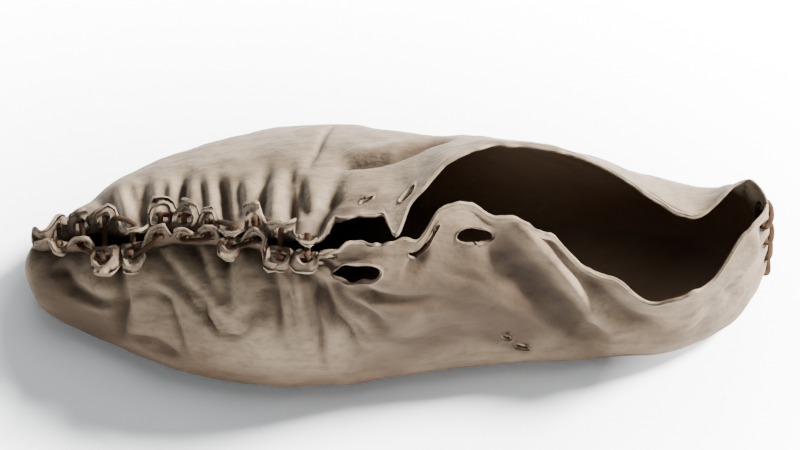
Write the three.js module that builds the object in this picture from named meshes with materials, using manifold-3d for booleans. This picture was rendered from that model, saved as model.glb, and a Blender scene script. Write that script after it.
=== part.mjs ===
// Ancient one-piece hide shoe, right foot, standing empty on its sole.
// One piece of hide is both sole and upper. Its two front edges stand up as ears over the foot
// and a thong runs to and fro through their eyelets. A second thong closes a slit at the heel.
// Millimetres. The toe points to -X, the medial (inner) side is -Y, and +Z is up.
import * as THREE from 'three';
import { mergeVertices } from 'three/addons/utils/BufferGeometryUtils.js';
import Module from 'manifold-3d';

// Driving dimensions
const LENGTH = 242; // toe fold to heel, without the ears and thongs
const BALL_WIDTH = 94; // widest part of the forefoot
const HEEL_WIDTH = 64; // widest part of the heel
const INSTEP_HEIGHT = 68; // top of the throat, where the foot goes in
const HEEL_HEIGHT = 48; // top of the heel slit
const WALL = 1.8; // hide thickness
const SEAM_GAP = 2.6; // between the flesh sides of the two front ears
const EAR_HEIGHT = 6.4; // how far an ear stands above the seam
const EAR_BEND = 1.2; // reach of the bend from the top of the foot into an ear
const EAR_NOTCH = 0.4; // share of an ear that is missing halfway between two eyelets
const RIM_LIP = 1.0; // how far the plain rim runs on past its guide line
const EYELET_DIAMETER = 4.2;
const EYELET_BELOW_EDGE = 3.1; // eyelet centre below the edge of an ear
const THONG_DIAMETER = 2;
const THONG_CLEARANCE = 0.7; // between a thong and the hide
const PLEAT_DEPTH = 2.6; // deepest trough of a gathered pleat
const PLEAT_WIDTH = 7.0; // across one trough
const PLEAT_REACH = 34; // from the seam to where a pleat has faded out
const SLUMP_DEPTH = 6; // how far the medial heel wall has slumped in beside its ridge
const SLUMP_WIDTH = 24; // from the ridge to where the wall is back in line
const SLUMP_FLANK = 8; // steep side of the trough, next to the ridge
const HEEL_SLIT_WIDTH = 1.6;
const HEEL_SLIT_BOTTOM = 12; // above the ground
const HEEL_EYELET_SPREAD = 4.4; // eyelet centre from the middle of the slit
const HEEL_EYELET_PITCH = 9;
const HEEL_EYELET_PAIRS = 4;
const SOLE_INSET = 0.25; // share of the way from the outline to the spine that is off the ground
const SPINE_SHARE = 0.8; // length of the sole's middle line as a share of the outline

// Mesh density
const FLOOR_STEPS = 1;
const LOWER_STEPS = 2;
const UPPER_STEPS = 6;
const HEEL_STRIP = 8; // longest strip between two ribs behind the throat
const EYELET_STRIPS = 4; // strips from one eyelet to the next, an even number
const TOE_STRIPS = 5; // strips from the first eyelet to the tip of the toe
const EYELET_SIDES = 6;
const THONG_SIDES = 6;
const THONG_STEPS_PER_EYELET = 5;

const table = (names, rows) => rows.map((row) => Object.fromEntries(names.map((name, i) => [name, row[i]])));

// Cross-sections from heel to toe.
// along and rimAlong are shares of LENGTH from the middle of the shoe, toe at -0.5.
// med and lat sides: Out is how far the side bulges and In where its edge lies before the ears
// part by their wall and the seam's gap, both as shares of half the row's width. Up is the edge's
// height as a share of the row's height. Turn is how far the wall has turned in from upright when
// it reaches the edge, in degrees. lift and girth, the heights of the sole and of the widest
// line, are shares of the row's height too. ear is the share of EAR_HEIGHT at the edge.
const SECTIONS = table(
  ['along', 'rimAlong', 'width', 'height', 'lift', 'girth', 'medOut', 'medIn', 'medUp', 'medTurn',
    'latOut', 'latIn', 'latUp', 'latTurn', 'ear'],
  [
    [0.5, 0.493, HEEL_WIDTH, HEEL_HEIGHT, 0.055, 0.35,
      0.0, 0.0, 0.98, 20, 0.0, 0.0, 0.98, 20, 0.15],
    [0.485, 0.475, HEEL_WIDTH, HEEL_HEIGHT, 0.03, 0.35,
      -0.32, -0.25, 1.0, 25, 0.3, 0.28, 1.0, 26, 0.1],
    [0.45, 0.445, HEEL_WIDTH, HEEL_HEIGHT, 0.005, 0.34,
      -0.65, -0.46, 0.99, 30, 0.6, 0.3, 1.0, 50, 0.05],
    [0.39, 0.39, HEEL_WIDTH, HEEL_HEIGHT, 0.0, 0.315,
      -0.88, -0.86, 0.81, 20, 0.8, 0.06, 0.95, 80, 0.05],
    [0.322, 0.322, HEEL_WIDTH, HEEL_HEIGHT, 0.0, 0.305,
      -0.98, -0.9, 0.765, 25, 0.88, 0.3, 1.02, 70, 0.05],
    [0.242, 0.242, HEEL_WIDTH, HEEL_HEIGHT, 0.0, 0.315,
      -1.04, -0.62, 1.0, 40, 0.98, 0.45, 1.19, 50, 0.05],
    [0.161, 0.161, BALL_WIDTH, INSTEP_HEIGHT, 0.0, 0.22,
      -0.73, -0.32, 0.9, 55, 0.71, 0.3, 0.94, 50, 0.05],
    [0.074, 0.074, BALL_WIDTH, INSTEP_HEIGHT, 0.0, 0.22,
      -0.78, -0.3, 0.98, 70, 0.8, 0.12, 1.0, 60, 0.15],
    [-0.007, -0.007, BALL_WIDTH, INSTEP_HEIGHT, 0.0, 0.21,
      -0.86, -0.57, 0.91, 80, 0.98, -0.3, 0.95, 75, 0.3],
    [-0.094, -0.094, BALL_WIDTH, INSTEP_HEIGHT, 0.0, 0.21,
      -0.925, -0.489, 0.83, 85, 1.07, -0.436, 0.865, 80, 0.7],
    [-0.188, -0.188, BALL_WIDTH, INSTEP_HEIGHT, 0.0, 0.2,
      -0.92, -0.307, 0.73, 88, 1.05, -0.307, 0.75, 85, 1.0],
    [-0.282, -0.282, BALL_WIDTH, INSTEP_HEIGHT, 0.005, 0.2,
      -0.82, -0.175, 0.62, 90, 0.91, -0.175, 0.635, 88, 1.0],
    [-0.363, -0.36, BALL_WIDTH, INSTEP_HEIGHT, 0.028, 0.22,
      -0.66, -0.127, 0.53, 90, 0.7, -0.127, 0.54, 90, 1.0],
    [-0.43, -0.42, BALL_WIDTH, INSTEP_HEIGHT, 0.06, 0.235,
      -0.49, -0.055, 0.455, 90, 0.4, -0.055, 0.46, 90, 1.0],
    [-0.481, -0.468, BALL_WIDTH, INSTEP_HEIGHT, 0.1, 0.26,
      -0.35, -0.035, 0.41, 88, 0.13, -0.035, 0.41, 88, 1.0],
    [-0.5, -0.488, BALL_WIDTH, INSTEP_HEIGHT, 0.13, 0.28,
      -0.1, -0.035, 0.4, 80, -0.1, -0.035, 0.4, 80, 1.0],
  ],
);

// Front eyelets from the toe to the throat, one pair a row: along is a share of LENGTH.
// laced tells whether the thong still runs through the pair, and med and lat how many times
// its diameter each side's eyelet has stretched along the edge.
const EYELETS = table(
  ['along', 'laced', 'med', 'lat'],
  [
    [-0.452, true, 1.0, 1.0],
    [-0.416, true, 1.0, 1.0],
    [-0.38, true, 1.1, 1.0],
    [-0.345, true, 1.0, 1.0],
    [-0.311, true, 1.0, 1.1],
    [-0.278, true, 1.0, 1.0],
    [-0.245, true, 1.0, 1.0],
    [-0.212, true, 1.1, 1.0],
    [-0.18, true, 1.0, 1.0],
    [-0.148, true, 1.0, 1.0],
    [-0.115, true, 1.0, 1.0],
    [-0.083, false, 1.0, 1.0],
    [-0.045, false, 2.6, 1.2],
    [-0.002, false, 1.0, 1.2],
    [0.045, false, 1.2, 0.8],
  ],
);

// Where the edge at the throat has torn away or still stands out: along and width are shares
// of LENGTH, and bite is how much of EAR_HEIGHT is gone there, or added where it is negative.
const TEARS = table(
  ['side', 'along', 'width', 'bite'],
  [
    ['lat', -0.048, 0.05, 0.9],
    ['lat', 0.002, 0.035, -1.2],
    ['med', 0.031, 0.05, 1.0],
  ],
);

// Gathered pleats beside the front seam: along is the trough's place at the seam as a share of
// LENGTH, lean how far it moves towards the heel for each length down from the seam, and depth
// and reach are shares of PLEAT_DEPTH and PLEAT_REACH.
const PLEATS = table(
  ['side', 'along', 'lean', 'depth', 'reach'],
  [
    ['lat', -0.375, -0.3, 0.9, 0.8], ['lat', -0.33, -0.1, 1.0, 1.0], ['lat', -0.297, 0.1, 1.0, 1.0],
    ['lat', -0.262, 0.0, 0.7, 0.8], ['lat', -0.222, -0.1, 0.8, 0.8], ['lat', -0.182, -0.1, 0.8, 0.7],
    ['lat', -0.14, 0.1, 0.9, 0.8], ['lat', -0.108, 0.3, 1.0, 1.0], ['med', -0.37, 0.2, 0.9, 0.8],
    ['med', -0.325, 0.9, 1.0, 1.2], ['med', -0.27, 0.5, 0.7, 0.8], ['med', -0.225, 0.1, 0.8, 0.9],
    ['med', -0.17, 0.2, 1.0, 1.2], ['med', -0.13, 0.7, 0.9, 1.1], ['med', -0.09, 1.3, 0.9, 1.1],
  ],
);

// The medial heel wall has folded: a diagonal trough behind a ridge.
const SLUMP = { topAlong: 0.2, bottomAlong: 0.33 };

const rows = SECTIONS.length - 1;
const stationCount = 2 * rows;

// Values of one column round the shoe: heel, medial side, toe, lateral side. The last argument
// of valueOf is the direction of the side: -1 medial, 1 lateral and 0 at the heel and toe ends.
function around(valueOf) {
  const medial = SECTIONS.map((row, k) => valueOf(row, 'med', k % rows ? -1 : 0));
  const lateral = SECTIONS.slice(1, rows).reverse().map((row) => valueOf(row, 'lat', 1));
  return [...medial, ...lateral];
}

const STATIONS = {
  outX: around((row) => row.along * LENGTH),
  outY: around((row, side) => (row[side + 'Out'] * row.width) / 2),
  girth: around((row) => row.girth * row.height),
  lift: around((row) => row.lift * row.height),
  rimX: around((row) => row.rimAlong * LENGTH),
  rimY: around((row, side, sign) => {
    const parted = row.ear * (WALL + SEAM_GAP / 2);
    return (row[side + 'In'] * row.width) / 2 + sign * parted;
  }),
  rimZ: around((row, side) => row[side + 'Up'] * row.height),
  turn: around((row, side) => THREE.MathUtils.degToRad(row[side + 'Turn'])),
  ear: around((row) => row.ear),
};

// A smooth closed curve through a column's values; place counts stations from the heel.
function smooth(values, place) {
  const n = values.length;
  const wrapped = ((place % n) + n) % n;
  const i = Math.floor(wrapped);
  const f = wrapped - i;
  const at = (k) => values[(i + k + n) % n];
  const slopeIn = (at(1) - at(-1)) / 2;
  const slopeOut = (at(2) - at(0)) / 2;
  const cubic = 2 * at(0) - 2 * at(1) + slopeIn + slopeOut;
  const square = 3 * at(1) - 3 * at(0) - 2 * slopeIn - slopeOut;
  return ((cubic * f + square) * f + slopeIn) * f + at(0);
}

function guideAt(place) {
  return Object.fromEntries(Object.entries(STATIONS).map(([name, values]) => [name, smooth(values, place)]));
}

// Share of an ear's height left at a place: whole at an eyelet, notched between two.
function earShape(along) {
  const gaps = EYELETS.map((eyelet) => Math.abs(eyelet.along * LENGTH - along));
  const nearest = gaps.indexOf(Math.min(...gaps));
  const next = nearest + (EYELETS[nearest].along * LENGTH < along ? 1 : -1);
  if (!EYELETS[next]) return 1;
  const halfPitch = (Math.abs(EYELETS[next].along - EYELETS[nearest].along) * LENGTH) / 2;
  return 1 - EAR_NOTCH * THREE.MathUtils.smoothstep(gaps[nearest] / halfPitch, 0.5, 1);
}

// Length of hide lost, or gained where negative, at an edge place with tears.
function tornAway(side, rimX) {
  return TEARS.filter((tear) => tear.side === side).reduce((sum, tear) => {
    const off = Math.min(Math.abs(rimX - tear.along * LENGTH) / ((tear.width * LENGTH) / 2), 1);
    return sum + tear.bite * EAR_HEIGHT * (1 - off * off) ** 2;
  }, 0);
}

// Inward dent of the hide from pleats and from the slumped heel wall.
function dent(place, rimX, fromRim, point) {
  const side = place < rows ? 'med' : 'lat';
  let depth = 0;
  for (const pleat of PLEATS) {
    if (pleat.side !== side) continue;
    const reach = pleat.reach * PLEAT_REACH;
    const centre = pleat.along * LENGTH + pleat.lean * Math.max(fromRim, 0);
    const across = (rimX - centre) / (PLEAT_WIDTH / 2);
    const fade = THREE.MathUtils.smoothstep(fromRim, -EAR_HEIGHT / 2, EAR_HEIGHT / 2)
      * (1 - THREE.MathUtils.smoothstep(fromRim, reach / 3, reach));
    depth += pleat.depth * PLEAT_DEPTH * Math.exp(-across * across) * fade;
  }
  if (side === 'med' && point.z > 0) {
    const height = THREE.MathUtils.clamp(point.z / HEEL_HEIGHT, 0, 1);
    const centre = THREE.MathUtils.lerp(SLUMP.bottomAlong, SLUMP.topAlong, height) * LENGTH;
    const behind = point.x - centre;
    const across = behind / (behind < 0 ? SLUMP_FLANK : SLUMP_WIDTH);
    depth += SLUMP_DEPTH * Math.exp(-across * across) * THREE.MathUtils.smoothstep(height, 0.15, 0.6);
  }
  return depth;
}

// One rib of the hide's outer face, from the middle of the sole to the edge.
function ribAt(place) {
  const g = guideAt(place);
  const mirror = guideAt(stationCount - place);
  const spine = new THREE.Vector3((SPINE_SHARE * (g.outX + mirror.outX)) / 2, (g.outY + mirror.outY) / 2, 0);
  const out = new THREE.Vector3(g.outX, g.outY, g.girth);
  const foot = spine.clone().lerp(out, 1 - SOLE_INSET).setZ(Math.max(g.lift, 0));
  const rim = new THREE.Vector3(g.rimX, g.rimY, g.rimZ);
  const points = [];
  for (let i = 0; i < FLOOR_STEPS; i++) {
    const share = i / FLOOR_STEPS;
    points.push(spine.clone().lerp(foot, share).setZ(foot.z * share * share));
  }
  for (let i = 0; i < LOWER_STEPS; i++) {
    const angle = ((i / LOWER_STEPS) * Math.PI) / 2;
    const point = foot.clone().lerp(out, Math.sin(angle));
    points.push(point.setZ(foot.z + (out.z - foot.z) * (1 - Math.cos(angle))));
  }
  const torn = tornAway(place < rows ? 'med' : 'lat', g.rimX);
  const kept = 1 - Math.max(torn, 0) / out.distanceTo(rim);
  for (let i = 0; i <= UPPER_STEPS; i++) {
    const angle = (g.turn * kept * i) / UPPER_STEPS;
    const point = out.clone().lerp(rim, (1 - Math.cos(angle)) / (1 - Math.cos(g.turn)));
    points.push(point.setZ(out.z + ((rim.z - out.z) * Math.sin(angle)) / Math.sin(g.turn)));
  }
  const edge = points[points.length - 1];
  const onward = edge.clone().sub(points[points.length - 2]).normalize();
  const stand = THREE.MathUtils.smoothstep(g.ear, 0.3, 0.9);
  const up = onward.clone().lerp(new THREE.Vector3(0, 0, 1), stand).normalize();
  const ear = RIM_LIP + EAR_HEIGHT * Math.max(g.ear, 0) * earShape(g.rimX) + Math.max(-torn, 0);
  points.push(edge.clone().addScaledVector(onward, EAR_BEND * g.ear).addScaledVector(up, ear));
  let fromRim = -ear;
  const distances = points.map(() => 0);
  for (let i = points.length - 1; i >= 0; i--) {
    distances[i] = fromRim;
    if (i > 0) fromRim += points[i].distanceTo(points[i - 1]);
  }
  return { points, distances, rimX: g.rimX };
}

// Place between two stations where a column's curve reaches a value.
function placeWhere(values, target, from, to) {
  const rising = smooth(values, to) > smooth(values, from);
  let low = from;
  let high = to;
  for (let i = 0; i < 40; i++) {
    const middle = (low + high) / 2;
    if (smooth(values, middle) < target === rising) low = middle;
    else high = middle;
  }
  return low;
}

// Place on one side where the rim is the given share of LENGTH along the shoe.
function placeOfRim(along, side) {
  return placeWhere(STATIONS.rimX, along * LENGTH, side === 'med' ? 0 : stationCount, rows);
}

// Places of the mesh's ribs round the shoe, as many on one side as on the other: on the sections
// behind the throat, then on the eyelets and between them, and on to the tip of the toe.
function ribPlaces() {
  const throat = EYELETS[EYELETS.length - 1].along;
  const oneSide = [0];
  const addUpTo = (place, strips) => {
    const from = oneSide[oneSide.length - 1];
    for (let i = 1; i <= strips; i++) oneSide.push(from + ((place - from) * i) / strips);
  };
  const outline = (place) => new THREE.Vector2(smooth(STATIONS.outX, place), smooth(STATIONS.outY, place));
  for (let k = 1; SECTIONS[k].rimAlong > throat; k++) {
    addUpTo(k, Math.ceil(outline(k).distanceTo(outline(k - 1)) / HEEL_STRIP));
  }
  for (const eyelet of [...EYELETS].reverse()) {
    addUpTo(placeOfRim(eyelet.along, 'med'), EYELET_STRIPS);
  }
  addUpTo(rows, TOE_STRIPS);
  const otherSide = oneSide.slice(1, -1).map((place) => stationCount - place).reverse();
  return [...oneSide, ...otherSide];
}

// The hide's outer face as a grid of points, with each point's outward normal before the dents.
function outerFace(places) {
  const ribs = places.map(ribAt);
  const ring = ribs.length;
  const column = ribs[0].points.length;
  const normalsOf = (grid) => grid.map((rib, i) => rib.map((point, j) => {
    if (j === 0) return new THREE.Vector3(0, 0, -1);
    const along = grid[(i + 1) % ring][j].clone().sub(grid[(i + ring - 1) % ring][j]);
    const up = rib[Math.min(j + 1, column - 1)].clone().sub(rib[j - 1]);
    return up.cross(along).normalize();
  }));
  const plain = ribs.map((rib) => rib.points);
  const plainNormals = normalsOf(plain);
  const dented = plain.map((rib, i) => rib.map((point, j) => {
    const depth = dent(places[i], ribs[i].rimX, ribs[i].distances[j], point);
    return point.clone().addScaledVector(plainNormals[i][j], j > FLOOR_STEPS ? -depth : 0);
  }));
  return { grid: dented, plainNormals };
}

// A closed shell: the outer face, the face one wall inside it, and the edge between them.
function shellGeometry(face) {
  const ring = face.grid.length;
  const column = face.grid[0].length;
  const inner = face.grid.map((rib, i) => rib.map((point, j) => {
    return point.clone().addScaledVector(face.plainNormals[i][j], -WALL);
  }));
  const position = [];
  const triangle = (a, b, c) => position.push(...a.toArray(), ...b.toArray(), ...c.toArray());
  for (let i = 0; i < ring; i++) {
    const next = (i + 1) % ring;
    for (let j = 0; j < column - 1; j++) {
      triangle(face.grid[i][j], face.grid[i][j + 1], face.grid[next][j]);
      triangle(face.grid[next][j], face.grid[i][j + 1], face.grid[next][j + 1]);
      triangle(inner[i][j], inner[next][j], inner[i][j + 1]);
      triangle(inner[next][j], inner[next][j + 1], inner[i][j + 1]);
    }
    const top = column - 1;
    triangle(face.grid[i][top], inner[i][top], face.grid[next][top]);
    triangle(face.grid[next][top], inner[i][top], inner[next][top]);
  }
  return new THREE.BufferGeometry().setAttribute('position', new THREE.Float32BufferAttribute(position, 3));
}

const wasm = await Module();
wasm.setup();

// A closed mesh as a solid that can be cut or joined.
function solidOf(geometry) {
  const bare = new THREE.BufferGeometry().setAttribute('position', geometry.getAttribute('position'));
  if (geometry.index) bare.setIndex(geometry.index);
  const merged = mergeVertices(bare, 1e-3);
  const kept = [];
  const index = merged.index.array;
  for (let i = 0; i < index.length; i += 3) {
    const [a, b, c] = [index[i], index[i + 1], index[i + 2]];
    if (a !== b && b !== c && a !== c) kept.push(a, b, c);
  }
  return new wasm.Manifold(
    new wasm.Mesh({
      numProp: 3,
      vertProperties: merged.getAttribute('position').array,
      triVerts: new Uint32Array(kept),
    }),
  );
}

function geometryOf(solid) {
  const mesh = solid.getMesh();
  const geometry = new THREE.BufferGeometry();
  geometry.setAttribute('position', new THREE.Float32BufferAttribute(mesh.vertProperties, 3));
  geometry.setIndex(new THREE.BufferAttribute(mesh.triVerts, 1));
  return geometry;
}

// A round cutter through the wall at a point, along a direction, stretched along the shoe.
function drill(point, direction, stretch) {
  const radius = EYELET_DIAMETER / 2;
  const geometry = new THREE.CylinderGeometry(radius, radius, 3 * WALL, EYELET_SIDES).scale(stretch, 1, 1);
  const turn = new THREE.Quaternion().setFromUnitVectors(new THREE.Vector3(0, 1, 0), direction);
  return solidOf(geometry.applyQuaternion(turn).translate(point.x, point.y, point.z));
}

// Middle of the wall and outward normal on a rib, a share of the way from point j down to j - 1.
function wallAt(place, j, share) {
  const step = 0.02;
  const [before, here, after] = [place - step, place, place + step].map((at) => ribAt(at).points);
  const down = here[j - 1].clone().sub(here[j]);
  const along = after[j].clone().sub(before[j]);
  const normal = along.cross(down).normalize();
  const point = here[j].clone().addScaledVector(down, share).addScaledVector(normal, -WALL / 2);
  return { point, normal };
}

function eyeletAt(eyelet, side) {
  const place = placeOfRim(eyelet.along, side);
  const { points } = ribAt(place);
  let below = EYELET_BELOW_EDGE + Math.max(-tornAway(side, eyelet.along * LENGTH), 0);
  let j = points.length - 1;
  while (below > points[j].distanceTo(points[j - 1])) {
    below -= points[j].distanceTo(points[j - 1]);
    j--;
  }
  return wallAt(place, j, below / points[j].distanceTo(points[j - 1]));
}

// The wall at the heel at the height of one eyelet pair: on the slit or one spread beside it.
function heelWallAt(pair, side) {
  const offset = { med: -HEEL_EYELET_SPREAD, slit: 0, lat: HEEL_EYELET_SPREAD }[side];
  const place = placeWhere(STATIONS.outY, offset, -1, 1);
  const { points } = ribAt(place);
  const height = HEEL_SLIT_BOTTOM + HEEL_EYELET_PITCH * (pair + 0.5);
  const j = points.findIndex((point) => point.z > height);
  return wallAt(place, j, (points[j].z - height) / (points[j].z - points[j - 1].z));
}

const heelPairs = Array.from({ length: HEEL_EYELET_PAIRS }, (_, pair) => pair);

function hideSolid() {
  const places = ribPlaces();
  let hide = solidOf(shellGeometry(outerFace(places)));
  const tall = 2 * INSTEP_HEIGHT;
  const slit = new THREE.BoxGeometry(8 * WALL, HEEL_SLIT_WIDTH, tall);
  slit.translate(LENGTH / 2, 0, HEEL_SLIT_BOTTOM + tall / 2);
  hide = hide.subtract(solidOf(slit));
  for (const eyelet of EYELETS) {
    for (const side of ['med', 'lat']) {
      const { point, normal } = eyeletAt(eyelet, side);
      hide = hide.subtract(drill(point, normal, eyelet[side]));
    }
  }
  for (const pair of heelPairs) {
    for (const side of ['med', 'lat']) {
      const { point, normal } = heelWallAt(pair, side);
      hide = hide.subtract(drill(point, normal, 1));
    }
  }
  return hide;
}

function thongAlong(points, stepCount) {
  const radius = THONG_DIAMETER / 2;
  const section = new THREE.Shape(
    Array.from({ length: THONG_SIDES }, (_, i) => {
      const angle = (i / THONG_SIDES) * 2 * Math.PI;
      return new THREE.Vector2(radius * Math.cos(angle), radius * Math.sin(angle));
    }),
  );
  const path = new THREE.CatmullRomCurve3(points, false, 'centripetal');
  return new THREE.ExtrudeGeometry(section, { steps: stepCount, extrudePath: path });
}

// A place beside the wall and clear of it: outside it, or inside it where face is -1.
function beside({ point, normal }, face) {
  const off = WALL / 2 + THONG_CLEARANCE + THONG_DIAMETER / 2;
  return point.clone().addScaledVector(normal, face * off);
}

// To and fro through the laced pairs: across at each pair, then along outside the ears.
function frontThong() {
  const laced = EYELETS.filter((eyelet) => eyelet.laced);
  const points = laced.flatMap((eyelet, i) => {
    const [from, to] = (i % 2 ? ['lat', 'med'] : ['med', 'lat']).map((side) => eyeletAt(eyelet, side));
    return [beside(from, 1), from.point, to.point, beside(to, 1)];
  });
  return thongAlong(points, laced.length * THONG_STEPS_PER_EYELET);
}

// Bars across the heel slit outside, joined by short runs inside.
function heelThong() {
  const points = heelPairs.flatMap((pair) => {
    const [from, slit, to] = ['med', 'slit', 'lat'].map((side) => heelWallAt(pair, side));
    const bar = [beside(from, -1), beside(from, 1), beside(slit, 1), beside(to, 1), beside(to, -1)];
    return pair % 2 ? bar.reverse() : bar;
  });
  return thongAlong(points, 2 * HEEL_EYELET_PAIRS * THONG_STEPS_PER_EYELET);
}

const hideMaterial = new THREE.MeshStandardMaterial({ color: 0xab9e8c, roughness: 0.85, metalness: 0 });
const thongMaterial = new THREE.MeshStandardMaterial({ color: 0xb8a48a, roughness: 0.8, metalness: 0 });

function piece(name, geometry, material) {
  const mesh = new THREE.Mesh(geometry, material);
  mesh.name = name;
  return mesh;
}

const shoe = new THREE.Group();
shoe.add(piece('hide_sole_and_upper', geometryOf(hideSolid()), hideMaterial));
shoe.add(piece('front_thong', frontThong(), thongMaterial));
shoe.add(piece('heel_thong', heelThong(), thongMaterial));

// The origin is under the middle of the shoe, on the ground.
const box = new THREE.Box3().setFromObject(shoe);
const middle = box.getCenter(new THREE.Vector3());
shoe.position.set(-middle.x, -middle.y, -box.min.z);

export default shoe;
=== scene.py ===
"""Looks of the ancient one-piece hide shoe: creased hide, two thongs, floor, lights and camera."""

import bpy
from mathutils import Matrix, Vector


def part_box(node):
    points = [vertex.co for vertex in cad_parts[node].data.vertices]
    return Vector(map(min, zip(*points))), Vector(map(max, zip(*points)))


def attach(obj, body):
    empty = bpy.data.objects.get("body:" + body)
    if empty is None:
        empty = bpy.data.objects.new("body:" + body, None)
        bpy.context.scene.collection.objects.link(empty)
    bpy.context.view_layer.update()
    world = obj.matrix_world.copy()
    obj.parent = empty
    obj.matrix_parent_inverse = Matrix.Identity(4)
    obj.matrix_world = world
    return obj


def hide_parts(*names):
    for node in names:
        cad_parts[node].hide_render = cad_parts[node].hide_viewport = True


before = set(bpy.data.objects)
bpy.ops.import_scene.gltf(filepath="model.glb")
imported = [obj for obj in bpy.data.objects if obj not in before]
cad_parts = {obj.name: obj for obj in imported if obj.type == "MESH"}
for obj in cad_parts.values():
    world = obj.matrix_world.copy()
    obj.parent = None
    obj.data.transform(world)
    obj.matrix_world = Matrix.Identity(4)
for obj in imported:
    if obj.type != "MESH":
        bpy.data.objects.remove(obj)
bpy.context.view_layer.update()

import itertools
import math
from types import SimpleNamespace

import bpy
import numpy as np
from mathutils import Vector

MM = 0.001

# Sizes in millimetres, shares and counts, the same as in the part but for the four that say so
LENGTH = 242.0
BALL_WIDTH = 94.0
HEEL_WIDTH = 64.0
INSTEP_HEIGHT = 68.0
HEEL_HEIGHT = 48.0
WALL = 1.8
SEAM_GAP = 2.6
EAR_HEIGHT = 6.4
EAR_BEND = 1.2
EAR_NOTCH = 0.72  # deeper than in the part
RIM_LIP = 1.0
EYELET_DIAMETER = 4.2
THONG_WIDTH = 1.9  # flat, where the part's thongs are round
THONG_THICKNESS = 1.2  # likewise
PLEAT_DEPTH = 2.6
PLEAT_WIDTH = 7.0
PLEAT_REACH = 34.0
SLUMP_DEPTH = 6.0
SLUMP_WIDTH = 24.0
SLUMP_FLANK = 5.0  # steeper than in the part
HEEL_SLIT_WIDTH = 1.6
HEEL_SLIT_BOTTOM = 12.0
HEEL_EYELET_SPREAD = 4.4
HEEL_EYELET_PITCH = 9.0
HEEL_EYELET_PAIRS = 4
SOLE_INSET = 0.25
SPINE_SHARE = 0.8

# Steps between the mesh's columns in millimetres, and where the finer ones are used
SEAM_STEP = 0.85
COLLAR_STEP = 1.3
HEEL_STEP = 0.7
SEAM_PAST_EYELETS = 0.02  # share of LENGTH
HEEL_FINE_WIDTH = 22.0

# Rows of the mesh from the middle of the sole up
FLOOR_ROWS = 8
LOWER_ROWS = 10
UPPER_ROWS = 44
EAR_ROWS = 9
WIDEST_ROW = FLOOR_ROWS + LOWER_ROWS
BEND_ROW = WIDEST_ROW + UPPER_ROWS

# Angles of the rows that round an edge from the outer face to the inner one
RIM_ANGLES = (math.pi / 4, math.pi / 2, 3 * math.pi / 4)

# Ears: width of a notch as a share of the pitch, and the limits of their roll in radians
NOTCH_WIDTH = 0.15
ROLL_LIMITS = (-2.0, 2.9)

# Openings: eyelet pairs cut plain, the hide above them, where the back of the heel begins as a share
# of LENGTH, most grid steps an edge point moves, and how far a rim swells as a share of WALL
PLAIN_EYELETS = 12
HIDE_OVER_EYELET = 1.2
HEEL_FACE = 0.455
MOST_COLUMNS_MOVED = 1.2
MOST_ROWS_MOVED = 1.6
HOLE_ROUNDING = 0.35

# Thongs: sides and rings of their meshes, gap to the hide, and sag as a share of the span
THONG_SIDES = 10
FRONT_THONG_RINGS = 900
HEEL_THONG_RINGS = 300
FRONT_THONG_CLEARANCE = 0.5
HEEL_THONG_CLEARANCE = 0.15
THONG_SAG = 0.42

NOISE_CELLS = 24  # along each side of the lattice


def table(names, rows):
    """A column of numbers or words for each name."""
    return {name: np.array([row[i] for row in rows]) for i, name in enumerate(names)}


# Cross-sections from heel to toe, the same as in the part: shares of the sizes above, and medTurn
# and latTurn in degrees
SECTIONS = table(
    ["along", "rimAlong", "lift", "girth",
     "medOut", "medIn", "medUp", "medTurn", "latOut", "latIn", "latUp", "latTurn", "ear"], [
    [0.5, 0.493, 0.055, 0.35, 0.0, 0.0, 0.98, 20, 0.0, 0.0, 0.98, 20, 0.15],
    [0.485, 0.475, 0.03, 0.35, -0.32, -0.25, 1.0, 25, 0.3, 0.28, 1.0, 26, 0.1],
    [0.45, 0.445, 0.005, 0.34, -0.65, -0.46, 0.99, 30, 0.6, 0.3, 1.0, 50, 0.05],
    [0.39, 0.39, 0.0, 0.315, -0.88, -0.86, 0.81, 20, 0.8, 0.06, 0.95, 80, 0.05],
    [0.322, 0.322, 0.0, 0.305, -0.98, -0.9, 0.765, 25, 0.88, 0.3, 1.02, 70, 0.05],
    [0.242, 0.242, 0.0, 0.315, -1.04, -0.62, 1.0, 40, 0.98, 0.45, 1.19, 50, 0.05],
    [0.161, 0.161, 0.0, 0.22, -0.73, -0.32, 0.9, 55, 0.71, 0.3, 0.94, 50, 0.05],
    [0.074, 0.074, 0.0, 0.22, -0.78, -0.3, 0.98, 70, 0.8, 0.12, 1.0, 60, 0.15],
    [-0.007, -0.007, 0.0, 0.21, -0.86, -0.57, 0.91, 80, 0.98, -0.3, 0.95, 75, 0.3],
    [-0.094, -0.094, 0.0, 0.21, -0.925, -0.489, 0.83, 85, 1.07, -0.436, 0.865, 80, 0.7],
    [-0.188, -0.188, 0.0, 0.2, -0.92, -0.307, 0.73, 88, 1.05, -0.307, 0.75, 85, 1.0],
    [-0.282, -0.282, 0.005, 0.2, -0.82, -0.175, 0.62, 90, 0.91, -0.175, 0.635, 88, 1.0],
    [-0.363, -0.36, 0.028, 0.22, -0.66, -0.127, 0.53, 90, 0.7, -0.127, 0.54, 90, 1.0],
    [-0.43, -0.42, 0.06, 0.235, -0.49, -0.055, 0.455, 90, 0.4, -0.055, 0.46, 90, 1.0],
    [-0.481, -0.468, 0.1, 0.26, -0.35, -0.035, 0.41, 88, 0.13, -0.035, 0.41, 88, 1.0],
    [-0.5, -0.488, 0.13, 0.28, -0.1, -0.035, 0.4, 80, -0.1, -0.035, 0.4, 80, 1.0],
])
HEEL_SECTIONS = 6
heelward = np.arange(len(SECTIONS["along"])) < HEEL_SECTIONS
SECTIONS["width"] = np.where(heelward, HEEL_WIDTH, BALL_WIDTH)
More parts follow.
